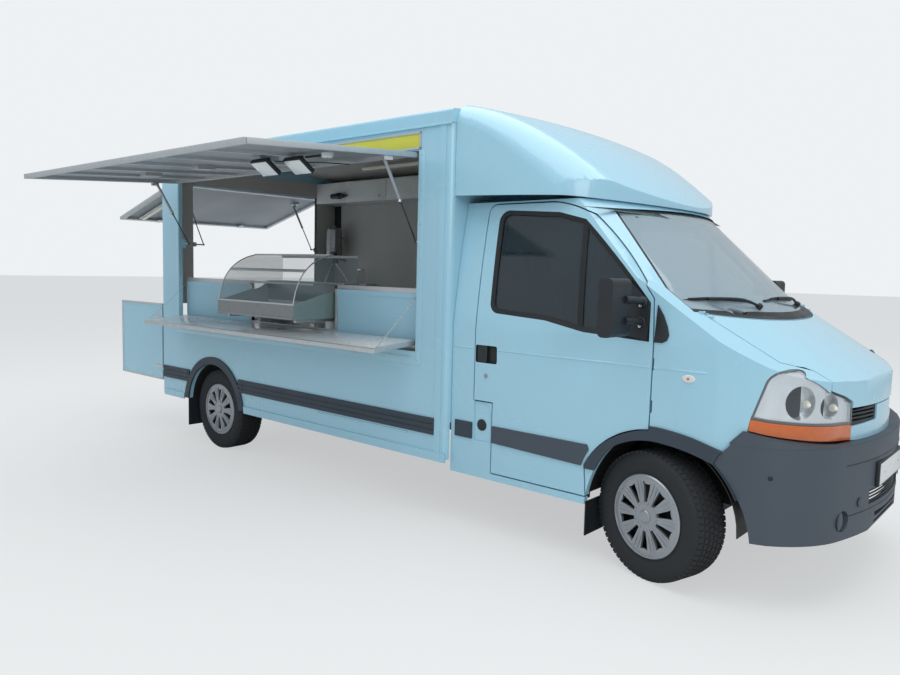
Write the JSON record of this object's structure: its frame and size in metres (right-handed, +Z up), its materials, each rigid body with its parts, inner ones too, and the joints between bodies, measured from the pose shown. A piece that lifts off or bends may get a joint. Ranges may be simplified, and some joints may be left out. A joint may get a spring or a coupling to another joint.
{
  "type": "food truck with a serving box on a van chassis cab",
  "caption": "Food truck on a van chassis cab with lifting side and rear flaps, folding counter and slide-out display case.",
  "frame": {"origin": "on the road, under the middle of the front axle", "axes": "+X forward along the vehicle, +Y to its left, +Z up"},
  "size_m": [6.9305, 3.6035, 2.6499],
  "materials": {
    "body_paint": "gloss pastel aqua enamel",
    "dark_trim": "grained moulded plastic",
    "clear_glass": "clear float glass",
    "lamp_lens": "clear and amber moulded lenses",
    "chassis_black": "satin chassis black",
    "engine_metal": "cast alloy",
    "floor_panel": "resin faced plywood",
    "tyre_rubber": "moulded tyre rubber",
    "wheel_silver": "silver lacquered wheel and cover",
    "counter_board": "anodised frame with painted panels",
    "case_white": "white powder coat",
    "strut_black": "black cylinder paint",
    "strut_rod": "hard chromed rod",
    "seat_cloth": "woven dark grey seat cloth"
  },
  "bodies": {
    "chassis": {"chassis_frame": "chassis_black", "engine_block": "engine_metal", "rear_axle": "chassis_black", "cab_shell": "body_paint", "windscreen": "clear_glass", "front_bumper": "dark_trim", "lamps": "lamp_lens", "body_trims": "dark_trim", "roof_fairing": "body_paint", "box_side_left": "body_paint", "box_side_right": "body_paint", "box_front": "body_paint", "box_rear_frame": "body_paint", "box_roof": "body_paint", "box_floor": "floor_panel", "counter_frame": "counter_board", "interior_fittings": "case_white", "seats": "seat_cloth", "dashboard": "dark_trim"},
    "bonnet": {"bonnet": "body_paint"},
    "steering_wheel": {"steering_wheel": "dark_trim"},
    "serving_flap": {"serving_flap": "body_paint"},
    "flap_strut_tubes": {"flap_strut_tubes": "strut_black"},
    "flap_strut_rods": {"flap_strut_rods": "strut_rod"},
    "counter": {"counter": "counter_board"},
    "display_case": {"case_base": "case_white", "case_glass": "clear_glass"},
    "rear_flap": {"rear_flap": "body_paint"},
    "rear_strut_tubes": {"rear_strut_tubes": "strut_black"},
    "rear_strut_rods": {"rear_strut_rods": "strut_rod"},
    "rear_door": {"rear_door": "body_paint"},
    "door_left": {"door_left": "body_paint", "door_glass_left": "clear_glass", "mirror_left": "dark_trim"},
    "knuckle_left": {"knuckle_left": "chassis_black"},
    "wheel_front_left": {"tyre_front_left": "tyre_rubber", "rim_front_left": "wheel_silver"},
    "wheel_rear_left": {"tyre_rear_left": "tyre_rubber", "rim_rear_left": "wheel_silver"},
    "door_right": {"door_right": "body_paint", "door_glass_right": "clear_glass", "mirror_right": "dark_trim"},
    "knuckle_right": {"knuckle_right": "chassis_black"},
    "wheel_front_right": {"tyre_front_right": "tyre_rubber", "rim_front_right": "wheel_silver"},
    "wheel_rear_right": {"tyre_rear_right": "tyre_rubber", "rim_rear_right": "wheel_silver"}
  },
  "joints": [
    {"name": "steer_right", "type": "hinge", "parent": "chassis", "child": "knuckle_right", "pos_m": [0, -0.83, 0.345], "axis": [0, 0, 1], "range_deg": [-19.8, 50.2]},
    {"name": "steer_left", "type": "hinge", "parent": "chassis", "child": "knuckle_left", "pos_m": [0, 0.83, 0.345], "axis": [0, 0, 1], "range_deg": [-19.8, 50.2]},
    {"name": "steering_wheel_turn", "type": "hinge", "parent": "chassis", "child": "steering_wheel", "pos_m": [-0.3441, 0.42, 1.241], "axis": [-0.92, 0, 0.3919], "range_deg": [-337, 854]},
    {"name": "spin_front_left", "type": "hinge", "parent": "knuckle_left", "child": "wheel_front_left", "pos_m": [0.0118, 0.87343, 0.345], "axis": [0.2622, 0.965, 0], "continuous": true},
    {"name": "spin_rear_left", "type": "hinge", "parent": "chassis", "child": "wheel_rear_left", "pos_m": [-4.078, 0.865, 0.345], "axis": [0, 1, 0], "continuous": true},
    {"name": "spin_front_right", "type": "hinge", "parent": "knuckle_right", "child": "wheel_front_right", "pos_m": [-0.0118, -0.87343, 0.345], "axis": [0.2622, 0.965, 0], "continuous": true},
    {"name": "spin_rear_right", "type": "hinge", "parent": "chassis", "child": "wheel_rear_right", "pos_m": [-4.078, -0.865, 0.345], "axis": [0, 1, 0], "continuous": true},
    {"name": "door_right_hinge", "type": "hinge", "parent": "chassis", "child": "door_right", "pos_m": [0, -0.972, 1.25], "axis": [0, 0.0175, 0.9998], "range_deg": [0, 70]},
    {"name": "door_left_hinge", "type": "hinge", "parent": "chassis", "child": "door_left", "pos_m": [0, 0.972, 1.25], "axis": [0, 0.0175, -0.9998], "range_deg": [0, 70]},
    {"name": "bonnet_hinge", "type": "hinge", "parent": "chassis", "child": "bonnet", "pos_m": [0.15, 0, 1.421], "axis": [0, -1, 0], "range_deg": [0, 55]},
    {"name": "flap_hinge", "type": "hinge", "parent": "chassis", "child": "serving_flap", "pos_m": [-3.15, -1.036, 2.352], "axis": [-1, 0, 0], "range_deg": [-86, 0]},
    {"name": "flap_tube_pivot", "type": "hinge", "parent": "serving_flap", "child": "flap_strut_tubes", "pos_m": [-3.15, -1.2678, 2.28366], "axis": [1, 0, 0], "range_deg": [-114.65, 0]},
    {"name": "flap_rod_slide", "type": "slide", "parent": "flap_strut_tubes", "child": "flap_strut_rods", "axis": [0, 0.5102, -0.8601], "range_m": [-0.24878, 0]},
    {"name": "counter_hinge", "type": "hinge", "parent": "chassis", "child": "counter", "pos_m": [-3.15, -0.979, 1.128], "axis": [1, 0, 0], "range_deg": [-95.01, 0]},
    {"name": "case_slide", "type": "slide", "parent": "chassis", "child": "display_case", "axis": [0, -1, 0], "range_m": [-0.5501, 0]},
    {"name": "rear_flap_hinge", "type": "hinge", "parent": "chassis", "child": "rear_flap", "pos_m": [-4.961, 0, 2.372], "axis": [0, 1, 0], "range_deg": [-74.5, 0]},
    {"name": "rear_tube_pivot", "type": "hinge", "parent": "rear_flap", "child": "rear_strut_tubes", "pos_m": [-5.18051, 0, 2.26546], "axis": [0, -1, 0], "range_deg": [-99.31, 0]},
    {"name": "rear_rod_slide", "type": "slide", "parent": "rear_strut_tubes", "child": "rear_strut_rods", "axis": [0.5554, 0, -0.8316], "range_m": [-0.2257, 0]},
    {"name": "rear_door_hinge", "type": "hinge", "parent": "chassis", "child": "rear_door", "pos_m": [-4.967, -1.022, 0.9], "axis": [0, 0, 1], "range_deg": [-90, 0]}
  ],
  "couplings": [
    {"joint": "steer_left", "follows": "steer_right", "ratio": 1},
    {"joint": "steering_wheel_turn", "follows": "steer_right", "ratio": 17},
    {"joint": "counter_hinge", "follows": "flap_hinge", "ratio": 1.1046},
    {"joint": "case_slide", "follows": "flap_hinge", "m_per_rad": 0.36643},
    {"joint": "flap_tube_pivot", "follows": "flap_hinge", "ratio": 1.3325},
    {"joint": "flap_rod_slide", "follows": "flap_hinge", "m_per_rad": 0.16561},
    {"joint": "rear_tube_pivot", "follows": "rear_flap_hinge", "ratio": 1.3324},
    {"joint": "rear_rod_slide", "follows": "rear_flap_hinge", "m_per_rad": 0.17342}
  ]
}
